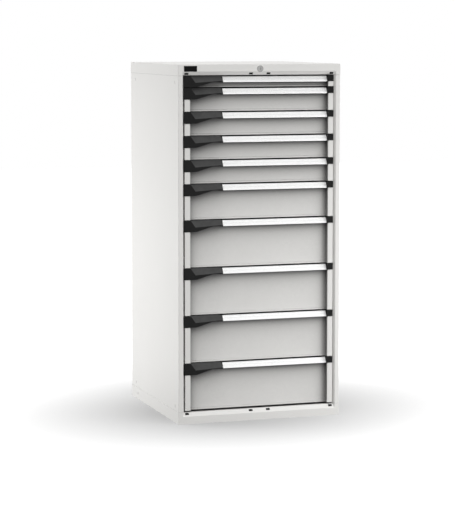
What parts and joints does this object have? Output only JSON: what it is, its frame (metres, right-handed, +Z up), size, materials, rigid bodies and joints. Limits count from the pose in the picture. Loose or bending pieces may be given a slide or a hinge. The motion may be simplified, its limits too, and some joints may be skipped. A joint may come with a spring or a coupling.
{
  "type": "drawer cabinet",
  "caption": "Tall steel workshop cabinet with full-width drawers of graded heights on telescopic runners, each with a label handle and a sprung grip lever, under one central lock.",
  "frame": {"origin": "On the floor, under the middle of the bounding box.", "axes": "+X is to the right as seen from the front, +Y is to the back, +Z is up. The drawers open along -Y."},
  "size_m": [0.717, 0.7264, 1.5],
  "materials": {
    "housing_paint": "light grey powder coat, fine texture",
    "drawer_paint": "light grey powder coat, fine texture",
    "handle_aluminium": "satin anodised",
    "dark_plastic": "matt black moulding",
    "zinc_steel": "bright zinc plate",
    "lock_metal": "nickel plated"
  },
  "bodies": {
    "housing": {"base_plinth": "housing_paint", "top_cover": "housing_paint", "left_side_panel": "housing_paint", "right_side_panel": "housing_paint", "back_panel": "housing_paint", "runner_racks": "zinc_steel", "cabinet_runners": "zinc_steel", "lock_fittings": "lock_metal"},
    "drawer_01": {"drawer_01_tray": "drawer_paint", "drawer_01_handle": "handle_aluminium", "drawer_01_end_caps": "dark_plastic"},
    "drawer_01_grip": {"drawer_01_grip_lever": "dark_plastic"},
    "drawer_01_runner": {"drawer_01_middle_runners": "zinc_steel"},
    "drawer_02": {"drawer_02_tray": "drawer_paint", "drawer_02_handle": "handle_aluminium", "drawer_02_end_caps": "dark_plastic"},
    "drawer_02_grip": {"drawer_02_grip_lever": "dark_plastic"},
    "drawer_02_runner": {"drawer_02_middle_runners": "zinc_steel"},
    "drawer_03": {"drawer_03_tray": "drawer_paint", "drawer_03_handle": "handle_aluminium", "drawer_03_end_caps": "dark_plastic"},
    "drawer_03_grip": {"drawer_03_grip_lever": "dark_plastic"},
    "drawer_03_runner": {"drawer_03_middle_runners": "zinc_steel"},
    "drawer_04": {"drawer_04_tray": "drawer_paint", "drawer_04_handle": "handle_aluminium", "drawer_04_end_caps": "dark_plastic"},
    "drawer_04_grip": {"drawer_04_grip_lever": "dark_plastic"},
    "drawer_04_runner": {"drawer_04_middle_runners": "zinc_steel"},
    "drawer_05": {"drawer_05_tray": "drawer_paint", "drawer_05_handle": "handle_aluminium", "drawer_05_end_caps": "dark_plastic"},
    "drawer_05_grip": {"drawer_05_grip_lever": "dark_plastic"},
    "drawer_05_runner": {"drawer_05_middle_runners": "zinc_steel"},
    "drawer_06": {"drawer_06_tray": "drawer_paint", "drawer_06_handle": "handle_aluminium", "drawer_06_end_caps": "dark_plastic"},
    "drawer_06_grip": {"drawer_06_grip_lever": "dark_plastic"},
    "drawer_06_runner": {"drawer_06_middle_runners": "zinc_steel"},
    "drawer_07": {"drawer_07_tray": "drawer_paint", "drawer_07_handle": "handle_aluminium", "drawer_07_end_caps": "dark_plastic"},
    "drawer_07_grip": {"drawer_07_grip_lever": "dark_plastic"},
    "drawer_07_runner": {"drawer_07_middle_runners": "zinc_steel"},
    "drawer_08": {"drawer_08_tray": "drawer_paint", "drawer_08_handle": "handle_aluminium", "drawer_08_end_caps": "dark_plastic"},
    "drawer_08_grip": {"drawer_08_grip_lever": "dark_plastic"},
    "drawer_08_runner": {"drawer_08_middle_runners": "zinc_steel"},
    "drawer_09": {"drawer_09_tray": "drawer_paint", "drawer_09_handle": "handle_aluminium", "drawer_09_end_caps": "dark_plastic"},
    "drawer_09_grip": {"drawer_09_grip_lever": "dark_plastic"},
    "drawer_09_runner": {"drawer_09_middle_runners": "zinc_steel"},
    "drawer_10": {"drawer_10_tray": "drawer_paint", "drawer_10_handle": "handle_aluminium", "drawer_10_end_caps": "dark_plastic"},
    "drawer_10_grip": {"drawer_10_grip_lever": "dark_plastic"},
    "drawer_10_runner": {"drawer_10_middle_runners": "zinc_steel"},
    "lock_cylinder": {"lock_plug": "lock_metal"},
    "lock_comb": {"lock_bar": "zinc_steel"}
  },
  "joints": [
    {"name": "drawer_01_slide", "type": "slide", "parent": "housing", "child": "drawer_01", "axis": [0, -1, 0], "range_m": [0, 0.62]},
    {"name": "drawer_01_runner_slide", "type": "slide", "parent": "housing", "child": "drawer_01_runner", "axis": [0, -1, 0], "range_m": [0, 0.31]},
    {"name": "drawer_01_grip_pivot", "type": "hinge", "parent": "drawer_01", "child": "drawer_01_grip", "pos_m": [-0.1755, -0.34175, 1.428], "axis": [0, 0, 1], "range_deg": [0, 5], "stiffness_Nm_per_rad": 2, "springref_deg": -2.86},
    {"name": "drawer_02_slide", "type": "slide", "parent": "housing", "child": "drawer_02", "axis": [0, -1, 0], "range_m": [0, 0.62]},
    {"name": "drawer_02_runner_slide", "type": "slide", "parent": "housing", "child": "drawer_02_runner", "axis": [0, -1, 0], "range_m": [0, 0.31]},
    {"name": "drawer_02_grip_pivot", "type": "hinge", "parent": "drawer_02", "child": "drawer_02_grip", "pos_m": [-0.1755, -0.34175, 1.378], "axis": [0, 0, 1], "range_deg": [0, 5], "stiffness_Nm_per_rad": 2, "springref_deg": -2.86},
    {"name": "drawer_03_slide", "type": "slide", "parent": "housing", "child": "drawer_03", "axis": [0, -1, 0], "range_m": [0, 0.62]},
    {"name": "drawer_03_runner_slide", "type": "slide", "parent": "housing", "child": "drawer_03_runner", "axis": [0, -1, 0], "range_m": [0, 0.31]},
    {"name": "drawer_03_grip_pivot", "type": "hinge", "parent": "drawer_03", "child": "drawer_03_grip", "pos_m": [-0.1755, -0.34175, 1.278], "axis": [0, 0, 1], "range_deg": [0, 5], "stiffness_Nm_per_rad": 2, "springref_deg": -2.86},
    {"name": "drawer_04_slide", "type": "slide", "parent": "housing", "child": "drawer_04", "axis": [0, -1, 0], "range_m": [0, 0.62]},
    {"name": "drawer_04_runner_slide", "type": "slide", "parent": "housing", "child": "drawer_04_runner", "axis": [0, -1, 0], "range_m": [0, 0.31]},
    {"name": "drawer_04_grip_pivot", "type": "hinge", "parent": "drawer_04", "child": "drawer_04_grip", "pos_m": [-0.1755, -0.34175, 1.178], "axis": [0, 0, 1], "range_deg": [0, 5], "stiffness_Nm_per_rad": 2, "springref_deg": -2.86},
    {"name": "drawer_05_slide", "type": "slide", "parent": "housing", "child": "drawer_05", "axis": [0, -1, 0], "range_m": [0, 0.62]},
    {"name": "drawer_05_runner_slide", "type": "slide", "parent": "housing", "child": "drawer_05_runner", "axis": [0, -1, 0], "range_m": [0, 0.31]},
    {"name": "drawer_05_grip_pivot", "type": "hinge", "parent": "drawer_05", "child": "drawer_05_grip", "pos_m": [-0.1755, -0.34175, 1.078], "axis": [0, 0, 1], "range_deg": [0, 5], "stiffness_Nm_per_rad": 2, "springref_deg": -2.86},
    {"name": "drawer_06_slide", "type": "slide", "parent": "housing", "child": "drawer_06", "axis": [0, -1, 0], "range_m": [0, 0.62]},
    {"name": "drawer_06_runner_slide", "type": "slide", "parent": "housing", "child": "drawer_06_runner", "axis": [0, -1, 0], "range_m": [0, 0.31]},
    {"name": "drawer_06_grip_pivot", "type": "hinge", "parent": "drawer_06", "child": "drawer_06_grip", "pos_m": [-0.1755, -0.34175, 0.978], "axis": [0, 0, 1], "range_deg": [0, 5], "stiffness_Nm_per_rad": 2, "springref_deg": -2.86},
    {"name": "drawer_07_slide", "type": "slide", "parent": "housing", "child": "drawer_07", "axis": [0, -1, 0], "range_m": [0, 0.62]},
    {"name": "drawer_07_runner_slide", "type": "slide", "parent": "housing", "child": "drawer_07_runner", "axis": [0, -1, 0], "range_m": [0, 0.31]},
    {"name": "drawer_07_grip_pivot", "type": "hinge", "parent": "drawer_07", "child": "drawer_07_grip", "pos_m": [-0.1755, -0.34175, 0.828], "axis": [0, 0, 1], "range_deg": [0, 5], "stiffness_Nm_per_rad": 2, "springref_deg": -2.86},
    {"name": "drawer_08_slide", "type": "slide", "parent": "housing", "child": "drawer_08", "axis": [0, -1, 0], "range_m": [0, 0.62]},
    {"name": "drawer_08_runner_slide", "type": "slide", "parent": "housing", "child": "drawer_08_runner", "axis": [0, -1, 0], "range_m": [0, 0.31]},
    {"name": "drawer_08_grip_pivot", "type": "hinge", "parent": "drawer_08", "child": "drawer_08_grip", "pos_m": [-0.1755, -0.34175, 0.628], "axis": [0, 0, 1], "range_deg": [0, 5], "stiffness_Nm_per_rad": 2, "springref_deg": -2.86},
    {"name": "drawer_09_slide", "type": "slide", "parent": "housing", "child": "drawer_09", "axis": [0, -1, 0], "range_m": [0, 0.62]},
    {"name": "drawer_09_runner_slide", "type": "slide", "parent": "housing", "child": "drawer_09_runner", "axis": [0, -1, 0], "range_m": [0, 0.31]},
    {"name": "drawer_09_grip_pivot", "type": "hinge", "parent": "drawer_09", "child": "drawer_09_grip", "pos_m": [-0.1755, -0.34175, 0.428], "axis": [0, 0, 1], "range_deg": [0, 5], "stiffness_Nm_per_rad": 2, "springref_deg": -2.86},
    {"name": "drawer_10_slide", "type": "slide", "parent": "housing", "child": "drawer_10", "axis": [0, -1, 0], "range_m": [0, 0.62]},
    {"name": "drawer_10_runner_slide", "type": "slide", "parent": "housing", "child": "drawer_10_runner", "axis": [0, -1, 0], "range_m": [0, 0.31]},
    {"name": "drawer_10_grip_pivot", "type": "hinge", "parent": "drawer_10", "child": "drawer_10_grip", "pos_m": [-0.1755, -0.34175, 0.228], "axis": [0, 0, 1], "range_deg": [0, 5], "stiffness_Nm_per_rad": 2, "springref_deg": -2.86},
    {"name": "lock_turn", "type": "hinge", "parent": "housing", "child": "lock_cylinder", "pos_m": [0, -0.36175, 1.4806], "axis": [0, 1, 0], "range_deg": [0, 90]},
    {"name": "lock_bar_lift", "type": "slide", "parent": "housing", "child": "lock_comb", "axis": [0, 0, 1], "range_m": [0, 0.0099]}
  ],
  "couplings": [
    {"joint": "drawer_01_runner_slide", "follows": "drawer_01_slide", "ratio": 0.5},
    {"joint": "drawer_02_runner_slide", "follows": "drawer_02_slide", "ratio": 0.5},
    {"joint": "drawer_03_runner_slide", "follows": "drawer_03_slide", "ratio": 0.5},
    {"joint": "drawer_04_runner_slide", "follows": "drawer_04_slide", "ratio": 0.5},
    {"joint": "drawer_05_runner_slide", "follows": "drawer_05_slide", "ratio": 0.5},
    {"joint": "drawer_06_runner_slide", "follows": "drawer_06_slide", "ratio": 0.5},
    {"joint": "drawer_07_runner_slide", "follows": "drawer_07_slide", "ratio": 0.5},
    {"joint": "drawer_08_runner_slide", "follows": "drawer_08_slide", "ratio": 0.5},
    {"joint": "drawer_09_runner_slide", "follows": "drawer_09_slide", "ratio": 0.5},
    {"joint": "drawer_10_runner_slide", "follows": "drawer_10_slide", "ratio": 0.5},
    {"joint": "lock_turn", "follows": "lock_bar_lift", "rad_per_m": 158.67}
  ]
}
